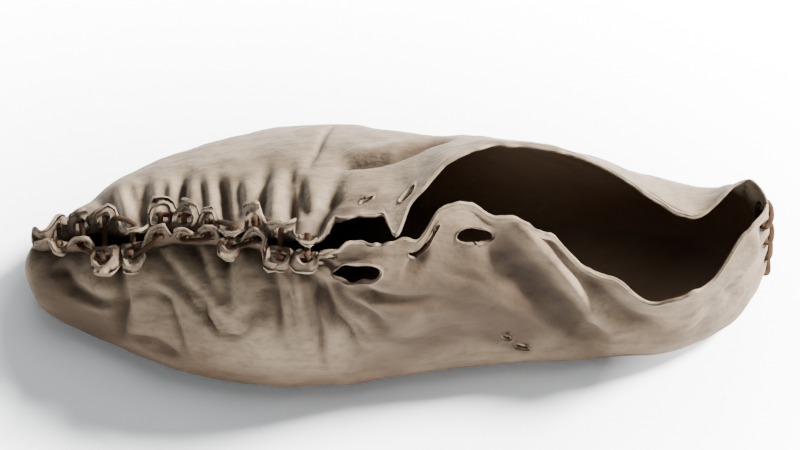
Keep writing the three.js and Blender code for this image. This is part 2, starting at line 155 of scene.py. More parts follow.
SECTIONS["height"] = np.where(heelward, HEEL_HEIGHT, INSTEP_HEIGHT)

# Front eyelets from the toe to the throat. med and lat are each side's stretch along the edge,
# Curl how far that side's ear has rolled outward, inward below 0, and Tall its height as a share of
# EAR_HEIGHT.
EYELETS = table(
    ["along", "laced", "med", "lat", "medCurl", "latCurl", "medTall", "latTall"], [
    [-0.452, 1, 1.1, 1.0, 0.9, 0.6, 1.3, 1.3],
    [-0.416, 1, 1.0, 1.2, 0.4, 0.9, 1.2, 1.3],
    [-0.385, 1, 1.3, 1.0, 1.5, 1.0, 2.0, 1.1],
    [-0.345, 1, 1.5, 1.3, 1.7, -0.45, 1.8, 1.8],
    [-0.311, 1, 1.1, 1.3, 0.0, 0.9, 1.3, 1.5],
    [-0.278, 1, 1.1, 1.3, 0.25, 0.6, 1.2, 1.6],
    [-0.245, 1, 1.0, 1.2, 0.1, 1.0, 1.2, 1.2],
    [-0.212, 1, 1.2, 1.5, 1.4, -0.55, 1.6, 2.0],
    [-0.18, 1, 1.1, 1.3, 0.1, 0.8, 1.2, 1.7],
    [-0.148, 1, 1.4, 1.2, 1.6, 0.5, 1.7, 1.4],
    [-0.112, 1, 1.2, 1.4, 1.6, -0.6, 1.6, 2.3],
    [-0.083, 0, 1.0, 1.0, 0.8, 0.3, 1.1, 0.9],
    [-0.045, 0, 3.4, 1.2, 0.4, 0.2, 1.4, 0.8],
    [-0.002, 0, 1.0, 1.4, 0.2, 0.1, 1.0, 1.0],
    [0.045, 0, 1.3, 0.9, 0.0, 0.0, 1.0, 1.0],
])

# Torn places of the throat's edge, the same as in the part: side, share of LENGTH, width as a share
# of it, and share of EAR_HEIGHT lost there, or added below 0
TEARS = [
    ("lat", -0.048, 0.05, 0.9),
    ("lat", 0.002, 0.035, -1.2),
    ("med", 0.031, 0.05, 1.0),
]

# Edits of the collar's line: side, share of LENGTH, width as a share of it, millimetres taken
# off the edge, and millimetres it leans across
COLLAR_EDITS = [
    ("med", 0.125, 0.06, 3.0, 0.0),
    ("med", 0.185, 0.05, 1.5, 0.0),
    ("med", 0.25, 0.09, 4.5, 1.0),
    ("med", 0.33, 0.08, 2.5, 0.0),
    ("med", 0.42, 0.08, 4.5, 0.0),
    ("lat", 0.37, 0.2, 2.0, -5.0),
    ("lat", -0.455, 0.07, 0.0, -1.7),
    ("med", -0.46, 0.06, 0.0, 1.5),
    ("lat", -0.468, 0.04, 0.0, -1.8),
    ("med", -0.468, 0.04, 0.0, 1.6),
    ("lat", -0.39, 0.07, 0.0, 2.2),
    ("med", -0.385, 0.06, 0.0, -1.6),
    ("lat", -0.022, 0.045, 4.2, 0.0),
    ("lat", -0.075, 0.05, 4.5, 0.0),
    ("lat", -0.235, 0.26, 0.0, -1.1),
    ("med", -0.235, 0.26, 0.0, 1.1),
    ("lat", 0.2, 0.2, 1.5, -1.5),
    ("lat", 0.13, 0.04, 1.6, 0.0),
    ("lat", 0.23, 0.03, 1.2, 0.0),
]

# Gathered pleats beside the front seam, one shallower than in the part: side, share of LENGTH, lean
# towards the heel for each length down, and shares of PLEAT_DEPTH and PLEAT_REACH
PLEATS = [
    ("lat", -0.375, -0.3, 0.9, 0.8), ("lat", -0.33, -0.1, 1.0, 1.0), ("lat", -0.297, 0.1, 1.0, 1.0),
    ("lat", -0.262, 0.0, 0.7, 0.8), ("lat", -0.222, -0.1, 0.8, 0.8), ("lat", -0.182, -0.1, 0.8, 0.7),
    ("lat", -0.14, 0.1, 0.9, 0.8), ("lat", -0.108, 0.3, 1.0, 1.0), ("med", -0.37, 0.2, 0.9, 0.8),
    ("med", -0.325, 0.9, 0.6, 1.2), ("med", -0.27, 0.5, 0.7, 0.8), ("med", -0.225, 0.1, 0.8, 0.9),
    ("med", -0.17, 0.2, 1.0, 1.2), ("med", -0.13, 0.7, 0.9, 1.1), ("med", -0.09, 1.3, 0.9, 1.1),
]

# Where the heel's wall has slumped, at its top and at the floor, as shares of LENGTH
SLUMP_TOP = 0.2
SLUMP_BOTTOM = 0.33

ROWS = len(SECTIONS["along"]) - 1
STATIONS = 2 * ROWS


def smoothstep(x, low, high):
    t = np.clip((x - low) / (high - low), 0.0, 1.0)
    return t * t * (3.0 - 2.0 * t)


def within(x, low, full_from, full_to, high):
    """1 from full_from to full_to, fading out to 0 at low and high."""
    return smoothstep(x, low, full_from) * (1 - smoothstep(x, full_to, high))


def around(medial, lateral=None):
    """A column of values round the shoe: heel, medial side, toe, lateral side or the same again."""
    lateral = medial if lateral is None else lateral
    return np.concatenate([medial, lateral[1:ROWS][::-1]])


def station_columns():
    s = SECTIONS
    half = s["width"] / 2
    parted = s["ear"] * (WALL + SEAM_GAP / 2)
    ends = np.ones(ROWS + 1)
    ends[0] = ends[ROWS] = 0
    return {
        "out_x": around(s["along"] * LENGTH),
        "out_y": around(s["medOut"] * half, s["latOut"] * half),
        "girth": around(s["girth"] * s["height"]),
        "lift": around(s["lift"] * s["height"]),
        "rim_x": around(s["rimAlong"] * LENGTH),
        "rim_y": around(s["medIn"] * half - ends * parted, s["latIn"] * half + parted),
        "rim_z": around(s["medUp"] * s["height"], s["latUp"] * s["height"]),
        "turn": np.radians(around(s["medTurn"], s["latTurn"])),
        "ear": around(s["ear"]),
    }


COLUMNS = station_columns()


def smooth(values, place):
    """A smooth closed curve through a column's values; place counts stations from the heel."""
    n = len(values)
    wrapped = np.mod(place, n)
    i = np.floor(wrapped).astype(int)
    f = wrapped - i
    before, here, after, later = (values[(i + k) % n] for k in (-1, 0, 1, 2))
    slope_in = (after - before) / 2
    slope_out = (later - here) / 2
    cubic = 2 * here - 2 * after + slope_in + slope_out
    square = 3 * after - 3 * here - 2 * slope_in - slope_out
    return ((cubic * f + square) * f + slope_in) * f + here


def column_places():
    """Places of the mesh's columns round the shoe: fine steps at the seam, wider at the collar."""
    dense = np.linspace(0, ROWS, 6001)
    x = smooth(COLUMNS["rim_x"], dense)
    out = np.stack([smooth(COLUMNS["out_x"], dense), smooth(COLUMNS["out_y"], dense)])
    rim_run = np.abs(np.diff(x))
    out_run = np.hypot(*np.diff(out))
    seam = x[1:] < (EYELETS["along"][-1] + SEAM_PAST_EYELETS) * LENGTH
    fine = np.maximum(rim_run / SEAM_STEP, out_run / COLLAR_STEP)
    steps = np.where(seam, fine, out_run / COLLAR_STEP)
    heel = (out[0, 1:] > 0) & (np.abs(out[1, 1:]) < HEEL_FINE_WIDTH / 2)
    steps = np.where(heel, out_run / HEEL_STEP, steps)
    count = np.concatenate([[0], np.cumsum(steps)])
    total = int(round(count[-1]))
    one_side = np.interp(np.arange(total + 1) * count[-1] / total, count, dense)
    return np.concatenate([one_side, (STATIONS - one_side[1:-1])[::-1]])


def eyelet_blend(rim_x, medial, column):
    """A value of the eyelet table, level over each lobe and blended between two."""
    along = EYELETS["along"] * LENGTH
    near, far = EYELETS["med" + column], EYELETS["lat" + column]
    i = np.clip(np.searchsorted(along, rim_x), 1, len(along) - 1)
    share = smoothstep((rim_x - along[i - 1]) / (along[i] - along[i - 1]), 0.28, 0.72)
    before = np.where(medial, near[i - 1], far[i - 1])
    after = np.where(medial, near[i], far[i])
    return before + (after - before) * share


def ear_shape(rim_x):
    """Share of an ear left: whole at an eyelet and notched between two, hardly at the throat."""
    along = EYELETS["along"] * LENGTH
    i = np.clip(np.searchsorted(along, rim_x), 1, len(along) - 1)
    left, right = along[i - 1], along[i]
    t = np.clip((rim_x - left) / (right - left), 0, 1)
    notch = np.exp(-((t - 0.5) / NOTCH_WIDTH) ** 2)
    inside = (rim_x > along[0]) & (rim_x < along[-1])
    deep = EAR_NOTCH * (1 - 0.95 * smoothstep(rim_x, -0.09 * LENGTH, -0.06 * LENGTH))
    return np.where(inside, 1 - deep * notch, 1.0)


def bump(rim_x, medial, side, along, width):
    """1 at a place of one side's edge, falling to 0 at both ends of a width."""
    off = np.minimum(np.abs(rim_x - along * LENGTH) / (width * LENGTH / 2), 1)
    return np.where(medial == (side == "med"), (1 - off * off) ** 2, 0)


def torn_away(rim_x, medial):
    """Millimetres torn off the edge, below 0 where it still stands out."""
    lost = np.zeros_like(rim_x)
    for side, along, width, bite in TEARS:
        lost += bite * EAR_HEIGHT * bump(rim_x, medial, side, along, width)
    return lost


def collar_edits(rim_x, medial):
    """Extra loss of the edge, and its lean across, from the listed edits."""
    lost, lean = np.zeros_like(rim_x), np.zeros_like(rim_x)
    for side, along, width, bite, across in COLLAR_EDITS:
        share = bump(rim_x, medial, side, along, width)
        lost += bite * share
        lean += across * share
    return lost, lean


def unit(vectors):
    return vectors / np.maximum(np.linalg.norm(vectors, axis=-1, keepdims=True), 1e-9)


def value_noise(points, size, seed):
    """Soft random numbers from -1 to 1 in lumps of one size, in millimetres."""
    lattice = np.random.default_rng(seed).uniform(-1, 1, (NOISE_CELLS,) * 3)
    p = points / size
    cell = np.floor(p).astype(int)
    f = p - cell
    f = f * f * (3 - 2 * f)
    total = np.zeros(points.shape[:-1])
    ends = (1 - f, f)
    for dx, dy, dz in itertools.product((0, 1), repeat=3):
        share = ends[dx][..., 0] * ends[dy][..., 1] * ends[dz][..., 2]
        i = (cell + (dx, dy, dz)) % NOISE_CELLS
        total += share * lattice[i[..., 0], i[..., 1], i[..., 2]]
    return total


def climb(out, rim, reach, turn=None):
    """Rows of points on the arc from a side's widest line towards the rim."""
    turn = reach if turn is None else turn
    rows = []
    for share in np.linspace(0, 1, UPPER_ROWS + 1):
        angle = reach * (1 - (1 - share) ** 1.25)
        point = out + (rim - out) * ((1 - np.cos(angle)) / (1 - np.cos(turn)))[:, None]
        point[:, 2] = out[:, 2] + (rim[:, 2] - out[:, 2]) * np.sin(angle) / np.sin(turn)
        rows.append(point)
    return rows


def plain_grid(places):
    """The hide's outer face before folds. below counts millimetres down from the ears' bend, level
    from where the bend was before the edge tore, and from_edge from the edge itself."""
    here = {name: smooth(values, places) for name, values in COLUMNS.items()}
    opposite = {name: smooth(values, STATIONS - places) for name, values in COLUMNS.items()}
    rim_x = here["rim_x"]
    medial = np.mod(places, STATIONS) < ROWS
    zero = np.zeros_like(places)
    spine_x = SPINE_SHARE * (here["out_x"] + opposite["out_x"]) / 2
    spine = np.stack([spine_x, (here["out_y"] + opposite["out_y"]) / 2, zero], -1)
    out = np.stack([here["out_x"], here["out_y"], here["girth"]], -1)
    foot = spine + (out - spine) * (1 - SOLE_INSET)
    foot[:, 2] = np.maximum(here["lift"], 0)
    rim = np.stack([rim_x, here["rim_y"], here["rim_z"]], -1)
    lost, lean = collar_edits(rim_x, medial)
    rim[:, 1] += lean
    torn = torn_away(rim_x, medial) + lost
    kept = 1 - np.maximum(torn, 0) / np.linalg.norm(out - rim, axis=-1)
    rows = []
    for share in np.arange(FLOOR_ROWS) / FLOOR_ROWS:
        point = spine + (foot - spine) * share
        point[:, 2] = foot[:, 2] * share ** 2
        rows.append(point)
    for share in np.arange(LOWER_ROWS) / LOWER_ROWS:
        angle = share * np.pi / 2
        point = foot + (out - foot) * np.sin(angle)
        point[:, 2] = foot[:, 2] + (out[:, 2] - foot[:, 2]) * (1 - np.cos(angle))
        rows.append(point)
    whole = climb(out, rim, here["turn"])
    rows += climb(out, rim, here["turn"] * kept, here["turn"])
    edge = rows[-1]
    onward = unit(edge - rows[-2])
    stand = smoothstep(here["ear"], 0.3, 0.9)[:, None]
    up = unit(onward * (1 - stand) + np.array([0, 0, 1.0]) * stand)
    ear = ear_heights(here["ear"], rim_x, medial, torn)
    for share in np.arange(1, EAR_ROWS + 1) / EAR_ROWS:
        bend = EAR_BEND * here["ear"] * min(2 * share, 1)
        rows.append(edge + onward * bend[:, None] + up * (ear * share)[:, None])
    grid = np.stack(rows, 1)
    run = np.linalg.norm(np.diff(grid, axis=1), axis=-1)
    total = np.concatenate([np.zeros((len(places), 1)), np.cumsum(run, 1)], 1)
    below = total[:, [BEND_ROW]] - total
    whole_run = sum(np.linalg.norm(after - before, axis=1) for before, after in zip(whole, whole[1:]))
    gone = whole_run - below[:, WIDEST_ROW]
    return SimpleNamespace(grid=grid, rim_x=rim_x, medial=medial, below=below,
                           level=below + gone[:, None], from_edge=below + ear[:, None])


def ear_heights(share, rim_x, medial, torn):
    """Height of the ears and of the plain rim, with a ragged edge that is rougher on the far collar."""
    tall = eyelet_blend(rim_x, medial, "Tall")
    tall = tall * (0.6 + 0.4 * smoothstep(rim_x, -0.49 * LENGTH, -0.45 * LENGTH))
    lobe = EAR_HEIGHT * np.maximum(share, 0) * ear_shape(rim_x) * tall
    ear = RIM_LIP + lobe + np.maximum(-torn, 0)
    far_collar = within(rim_x, 0.06 * LENGTH, 0.1 * LENGTH, 0.24 * LENGTH, 0.3 * LENGTH)
    rough = 1 + 0.5 * np.where(medial, 0, far_collar)
    place = np.stack([rim_x, np.where(medial, 0.0, 90.0), np.zeros_like(rim_x)], -1)
    return ear + rough * (0.6 * value_noise(place, 5.0, 31) + 0.4 * value_noise(place, 2.2, 32))


def normals_of(grid):
    """Outward normals of a grid of points; the first row is the middle of the sole."""
    along = np.roll(grid, -1, 0) - np.roll(grid, 1, 0)
    up = np.gradient(grid, axis=1)
    normal = unit(np.cross(up, along))
    normal[:, 0] = (0, 0, -1)
    return normal


# Lines on the hide's unrolled sides, each point a share of LENGTH and millimetres below the ears'
# bend as it was before the edge tore. These four carry a crease and a stroke of painted shade along it.
BALL_LINE = [(-0.32, 14), (-0.3, 19), (-0.291, 27), (-0.281, 35), (-0.265, 41)]
LOW_BALL_LINE = [(-0.358, 29), (-0.32, 32), (-0.298, 37), (-0.275, 42)]
HOOKED_LINE = [(-0.247, 13), (-0.247, 24), (-0.232, 29), (-0.204, 30), (-0.187, 26), (-0.174, 12)]
THROAT_LINE = [(-0.015, 28), (0.015, 25.5), (0.055, 19), (0.085, 13)]

# Creases: half width and depth in millimetres, and a line. A depth under 0 is a
# raised ridge.
MEDIAL_FOLDS = [
    # Ball of the medial side: the edge of the flattened toe, then the wrinkles behind it
    (1.8, 2.0, [(-0.352, 14), (-0.359, 21), (-0.366, 34)]),
    (3.4, -1.8, [(-0.335, 15), (-0.338, 30)]),
    (7.0, 1.6, [(-0.39, 18), (-0.39, 34)]),
    (1.1, 1.5, BALL_LINE),
    (1.0, 1.1, [(-0.308, 10), (-0.276, 15), (-0.251, 22), (-0.23, 31)]),
    (1.0, 1.2, LOW_BALL_LINE),
    (2.2, -0.9, [(-0.35, 33), (-0.31, 38), (-0.28, 43)]),
    (0.9, 1.1, HOOKED_LINE),
    (4.5, -1.0, [(-0.222, 17), (-0.205, 23)]),
    (3.0, 1.4, [(-0.169, 10), (-0.173, 24)]),
    (1.2, 1.2, [(-0.138, 8), (-0.133, 17), (-0.134, 27)]),
    (1.1, 1.0, [(-0.156, 9), (-0.154, 20), (-0.16, 31)]),
    (2.0, 1.5, [(-0.12, 7), (-0.11, 18), (-0.104, 30)]),
    # Fan of folds from the lowest laced eyelets
    (1.6, 2.6, [(-0.105, 3), (-0.1, 18), (-0.096, 44)]),
    (1.8, 3.2, [(-0.098, 3), (-0.081, 18), (-0.036, 38)]),
    (2.0, 3.0, [(-0.09, 3), (-0.046, 17), (0.0, 29)]),
    (1.4, 2.0, [(-0.08, 5), (-0.05, 11), (-0.01, 16)]),
    (1.6, 1.4, [(-0.094, 6), (-0.066, 18), (-0.022, 33)]),
    (2.2, -1.6, [(-0.09, 8), (-0.06, 25), (-0.03, 34)]),
    # Shadow under the big toe lobe
    (2.6, 2.6, [(-0.443, 3), (-0.419, 12), (-0.387, 15), (-0.357, 14)]),
    # Dent under the throat's torn bite
    (3.0, 2.2, [(0.012, 6), (0.03, 8), (0.042, 8)]),
    # The heel's slumped wall: a deep valley, the rounded ridge behind it, and the hollow beyond
    (8.5, 7.5, [(0.12, 5), (0.157, 14.5), (0.202, 24), (0.247, 30), (0.285, 30)]),
    (5.0, -5.6, [(0.155, 0), (0.2, 7), (0.245, 15), (0.291, 25)]),
    (4.0, 2.4, [(0.232, 5), (0.27, 9.5), (0.323, 13), (0.37, 11)]),
    (3.0, -1.0, [(0.392, 10), (0.4, 20)]),
    (2.6, 1.2, [(0.436, 12), (0.45, 26)]),
    # Long shallow wrinkles along the waist
    (1.3, 0.6, [(0.056, 16), (0.136, 27), (0.2, 33)]),
    (1.2, 0.6, [(0.04, 19), (0.1, 31), (0.216, 37)]),
    (1.3, 0.55, [(0.006, 18), (0.072, 41), (0.163, 47)]),
    (1.1, 0.5, [(0.07, 12), (0.12, 20), (0.17, 27)]),
    (1.2, 0.5, [(-0.01, 30), (0.05, 44), (0.12, 51)]),
    (1.2, 0.5, [(0.24, 38), (0.3, 33), (0.37, 28)]),
    # Beside the heel's slit
    (1.5, 1.5, [(0.478, 0), (0.482, 16)]),
    (1.5, -1.2, [(0.468, 0), (0.474, 14)]),
]
LATERAL_FOLDS = [
    # Pleats drawn in by the lace
    (1.7, 2.2, [(-0.303, 3), (-0.307, 12), (-0.312, 24)]),
    (1.8, 1.8, [(-0.278, 3), (-0.284, 14), (-0.29, 26)]),
    (1.8, 1.8, [(-0.252, 3), (-0.256, 14), (-0.262, 25)]),
    (2.2, 2.0, [(-0.228, 4), (-0.233, 16), (-0.24, 27)]),
    (1.8, 1.5, [(-0.204, 4), (-0.207, 14), (-0.212, 25)]),
    (2.4, 1.8, [(-0.176, 4), (-0.175, 17), (-0.172, 34)]),
    (2.0, 2.2, [(-0.141, 5), (-0.141, 18), (-0.14, 34)]),
    (2.0, 1.8, [(-0.118, 7), (-0.122, 18), (-0.128, 29)]),
    (3.0, -1.2, [(-0.158, 6), (-0.158, 26)]),
    (3.0, -1.2, [(-0.192, 5), (-0.192, 24)]),
    (1.5, 1.8, [(-0.365, 2), (-0.372, 10), (-0.385, 20)]),
    (1.5, 1.6, [(-0.34, 2), (-0.347, 12), (-0.36, 24)]),
    # Beside the heel's slit
    (1.4, 1.6, [(0.455, 0), (0.462, 12)]),
    (1.4, 1.8, [(0.476, 0), (0.48, 15)]),
    # Thin diagonal crease over the instep, and the long one above the throat
    (1.3, 1.3, [(-0.085, 70), (-0.102, 45), (-0.127, 28)]),
    (2.1, 3.4, [(-0.085, 35.5), (-0.03, 29.5), (0.015, 25.5), (0.068, 17)]),
    (1.8, 1.8, THROAT_LINE),
    (4.0, -1.4, [(-0.07, 41), (-0.01, 34), (0.05, 26)]),
    (2.5, 1.2, [(-0.1, 16), (-0.06, 14), (-0.02, 13)]),
    (2.0, 0.9, [(0.02, 46), (0.06, 32), (0.09, 18)]),
]

# Stains and painted shade: half width in millimetres, strength and a line
MEDIAL_STAINS_AND_SHADE = [
    # Painted shade in the heel's valley
    (5.0, 0.85, [(0.118, 3), (0.165, 12), (0.21, 21), (0.28, 28)]),
    (2.6, 0.6, [(0.1, 11), (0.14, 20), (0.19, 30), (0.27, 36)]),
    (2.0, 0.5, [(0.085, 16), (0.125, 26), (0.18, 35)]),
    (1.6, 0.5, [(0.07, 8), (0.105, 17), (0.16, 26), (0.23, 33)]),
    (5.0, 0.6, [(0.25, 6), (0.29, 10), (0.34, 8)]),
    (9.0, 0.5, [(-0.1, 10), (-0.07, 25)]),
    # Painted shade over the medial toe
    (10.0, 0.8, [(-0.47, 6), (-0.42, 20), (-0.37, 36)]),
    (8.0, 0.4, [(-0.47, 22), (-0.42, 34), (-0.34, 42)]),
    (8.0, 0.45, [(-0.33, 40), (-0.24, 48), (-0.15, 54)]),
    # Painted shade over the medial waist
    (17.0, 0.9, [(-0.05, 14), (0.03, 19), (0.12, 25), (0.22, 33)]),
    (1.5, 0.45, [(0.0, 21), (0.06, 30), (0.13, 38), (0.2, 41)]),
    (1.4, 0.45, [(0.03, 14), (0.08, 25), (0.15, 34), (0.21, 38)]),
    (1.6, 0.4, [(-0.03, 27), (0.03, 40), (0.12, 49)]),
    (12.0, 0.6, [(-0.04, 42), (0.12, 44), (0.28, 38), (0.42, 30)]),
    (3.0, 0.7, [(-0.365, 15), (-0.365, 34)]),
    (3.2, 1.0, [(0.12, 44), (0.155, 46.5), (0.19, 49)]),
    (1.6, 0.6, LOW_BALL_LINE),
    (1.5, 0.5, BALL_LINE),
    (1.4, 0.5, HOOKED_LINE),
    (7.0, 0.35, [(-0.06, 40), (0.0, 46), (0.1, 52)]),
    (5.0, 0.3, [(0.33, 20), (0.4, 22)]),
    (4.0, 0.5, [(0.01, 5), (0.04, 9)]),
    (4.0, 0.5, [(0.475, 2), (0.488, 7)]),
]
LATERAL_STAINS_AND_SHADE = [
    # Painted shade along the long crease above the throat
    (1.8, 0.9, [(-0.07, 33), (-0.03, 29.5), (0.015, 25.5), (0.068, 17)]),
    (2.0, 1.4, THROAT_LINE),
    (6.0, 0.3, [(-0.1, 14), (-0.05, 10)]),
    (8.0, 0.3, [(-0.2, 34), (-0.12, 36)]),
    (7.0, 0.5, [(-0.41, 8), (-0.37, 12)]),
    (4.0, 0.6, [(0.08, 4), (0.15, 2), (0.25, 3)]),
    (5.0, 0.6, [(0.45, 2), (0.48, 5)]),
]


def stroke(x, down, half_width, line):
    """Share of a soft stroke at each point of the unrolled side: 1 on its line, fading at its ends."""
    line = np.array([(along * LENGTH, below) for along, below in line], float)
    steps = np.hypot(*np.diff(line, axis=0).T)
    total = steps.sum()
    nearest = np.full(x.shape, 1e9)
    place = np.zeros(x.shape)
    run = 0.0
    for start, end, length in zip(line, line[1:], steps):
        way = (end - start) / length
        t = (x - start[0]) * way[0] + (down - start[1]) * way[1]
        held = np.clip(t, 0, length)
        off = np.hypot(x - start[0] - held * way[0], down - start[1] - held * way[1])
        closer = off < nearest
        nearest = np.where(closer, off, nearest)
        place = np.where(closer, (run + held) / total, place)
        run += length
    return np.exp(-(nearest / half_width) ** 2) * within(place, -0.05, 0.2, 0.7, 1.05)


def both_sides(medial, near, far):
    """Rows of two tables, each with the points of its side."""
    return [(medial, *row) for row in near] + [(~medial, *row) for row in far]


def folded(sheet):
    """Depth pressed into the outer face, and shares of painted shade in the creases and of stains with
    painted shade, for every point.
    """
    grid, down = sheet.grid, sheet.level
    x = np.broadcast_to(sheet.rim_x[:, None], down.shape)
    medial = np.broadcast_to(sheet.medial[:, None], down.shape)
    depth = np.zeros(down.shape)
    crease_shade = np.zeros(down.shape)
    for side, along, lean, deep, reach in PLEATS:
        far = PLEAT_REACH * reach
        across = (x - along * LENGTH - lean * np.maximum(down, 0)) / (PLEAT_WIDTH / 2)
        fade = within(down, -EAR_HEIGHT / 3, EAR_HEIGHT / 2, far / 3, far)
        fade = fade * (medial == (side == "med")) * deep
        trough = np.exp(-1.6 * across ** 2) - 0.3 * np.exp(-((np.abs(across) - 2) ** 2))
        depth += PLEAT_DEPTH * fade * trough
        # Painted shade along the pleat's trough
        crease_shade += 0.8 * fade * np.exp(-4 * across ** 2)
    height = np.clip(grid[..., 2] / HEEL_HEIGHT, 0, 1)
    centre = (SLUMP_BOTTOM + (SLUMP_TOP - SLUMP_BOTTOM) * height) * LENGTH
    behind = grid[..., 0] - centre
    across = behind / np.where(behind < 0, SLUMP_FLANK, SLUMP_WIDTH)
    slump = np.exp(-across ** 2) * smoothstep(height, 0.15, 0.6) * medial * (grid[..., 2] > 0)
    depth += SLUMP_DEPTH * slump
    wander = np.where(medial, 1.3, 0.5) * value_noise(grid, 9.0, 21)
    for on_side, half_width, deep, line in both_sides(medial, MEDIAL_FOLDS, LATERAL_FOLDS):
        share = stroke(x + wander, down - wander, half_width, line) * on_side
        depth += deep * share
        # Painted shade in the fold's trough
        if deep > 0:
            crease_shade += 0.42 * deep * share ** 3 / max(half_width / 3, 1)
    stain_and_shade = np.zeros(down.shape)
    for on_side, half_width, strength, line in both_sides(medial, MEDIAL_STAINS_AND_SHADE, LATERAL_STAINS_AND_SHADE):
        stain_and_shade += strength * stroke(x + 2 * wander, down, half_width, line) * on_side
    return depth, np.clip(crease_shade, 0, 1), np.clip(stain_and_shade, 0, 1)


def curled(sheet):
    """The grid with its ears rolled outward or inward, each by its own amount."""
    grid, rim_x, medial = sheet.grid, sheet.rim_x, sheet.medial
    zero = np.zeros_like(rim_x)
    roll = eyelet_blend(rim_x, medial, "Curl")
    roll = roll * smoothstep(-rim_x, -0.03 * LENGTH, 0.04 * LENGTH)
    place = np.stack([rim_x, medial * 50.0, zero], -1)
    wave = value_noise(place, 6.0, 3)
    sway = 2.2 * value_noise(place, 8.0, 8) * smoothstep(roll, 0.1, 0.6)
    angle = 1.7 * roll + 0.8 * wave * smoothstep(roll, 0.05, 0.5)
    angle = np.clip(angle, *ROLL_LIMITS)[:, None]
    angle = np.where(np.abs(angle) < 0.02, 0.02, angle)
    foot = grid[:, BEND_ROW]
    up = unit(grid[:, -1] - foot)
    out = np.stack([zero, np.where(medial, -1.0, 1.0), zero], -1)
    out = unit(out - up * np.sum(out * up, -1, keepdims=True))
    tall = np.linalg.norm(grid[:, -1] - foot, axis=-1)[:, None]
    result = grid.copy()
    for k in range(1, EAR_ROWS + 1):
        turned = angle * k / EAR_ROWS
        move = (up * np.sin(turned) + out * (1 - np.cos(turned))) * tall / angle
        move[:, 0] += sway * (k / EAR_ROWS) ** 2
        rough = value_noise(foot + move * 2, 3.2, 9) * smoothstep(roll, 0.1, 0.6) * k / EAR_ROWS
        result[:, BEND_ROW + k] = foot + move + 0.9 * rough[:, None] * out
    return result


# The last eyelets, worn or torn open, and holes worn in the hide. A field row counts millimetres
# down as the lines above do, and an edge row counts them from the edge as it is. Then side, share
# of LENGTH, millimetres down, half width and half height.
WORN_HOLES = [
    ("field", "lat", -0.039, 12.0, 2.9, 1.3),
    ("field", "lat", 0.014, 3.0, 2.6, 2.5),
    ("field", "med", -0.05, 4.4, 8.0, 3.7),
    ("edge", "med", 0.036, 4.2, 5.0, 1.7),
    ("field", "med", 0.104, 7.8, 6.6, 3.0),
    ("field", "med", 0.146, 45.0, 2.0, 1.8),
    ("field", "med", 0.167, 47.5, 2.9, 1.9),
]


def heel_eyelet_height(pair):
    return HEEL_SLIT_BOTTOM + HEEL_EYELET_PITCH * (pair + 0.5)


def hole_list():
    """Every opening as (kind, side, centre, half sizes)."""
    holes = []
    radius = EYELET_DIAMETER / 2
    for side in ("med", "lat"):
        for i, along in enumerate(EYELETS["along"][:PLAIN_EYELETS]):
            high = max(EYELETS[side + "Tall"][i], 1.0)
            wide = EYELETS[side][i]
            half = (radius * wide, radius * max(wide ** 0.4, high ** 0.8))
            centre = (along * LENGTH, half[1] + HIDE_OVER_EYELET + 0.5 * (high - 1))
            holes.append(("seam", side, centre, half))
    for kind, side, along, below, wide, high in WORN_HOLES:
        holes.append((kind, side, (along * LENGTH, below), (wide, high)))
    for pair in range(HEEL_EYELET_PAIRS):
        for across in (-HEEL_EYELET_SPREAD, HEEL_EYELET_SPREAD):
            holes.append(("heel", "", (across, heel_eyelet_height(pair)), (radius, radius)))
    top = HEEL_HEIGHT * 1.3
    holes.append(("slit", "", (0, (HEEL_SLIT_BOTTOM + top) / 2),
                  (HEEL_SLIT_WIDTH / 2, (top - HEEL_SLIT_BOTTOM) / 2)))
    return holes


def sampled(values, i, j):
    """Values of the grid at places between its points."""
    n, m = values.shape[:2]
    j = np.clip(j, 0, m - 1.001)
    i0, j0 = np.floor(i).astype(int), np.floor(j).astype(int)
    fi, fj = (i - i0)[:, None], (j - j0)[:, None]
    a, b = i0 % n, (i0 + 1) % n
    low = values[a, j0] * (1 - fi) + values[b, j0] * fi
    high = values[a, j0 + 1] * (1 - fi) + values[b, j0 + 1] * fi
    return low * (1 - fj) + high * fj


def hole_coordinates(kind, side, sheet):
    """Two flat coordinates in which an opening is an ellipse, and where they count."""
    grid = sheet.grid
    if kind in ("seam", "edge", "field"):
        u = np.broadcast_to(sheet.rim_x[:, None], sheet.below.shape)
        here = np.broadcast_to((sheet.medial == (side == "med"))[:, None], sheet.below.shape)
        return u, sheet.level if kind == "field" else sheet.from_edge, here
    upper = np.arange(grid.shape[1]) > FLOOR_ROWS
    return grid[..., 1], grid[..., 2], (grid[..., 0] > HEEL_FACE * LENGTH) & upper[None, :]


def column_means(values):
    return (values + np.roll(values, -1, 0)) / 2


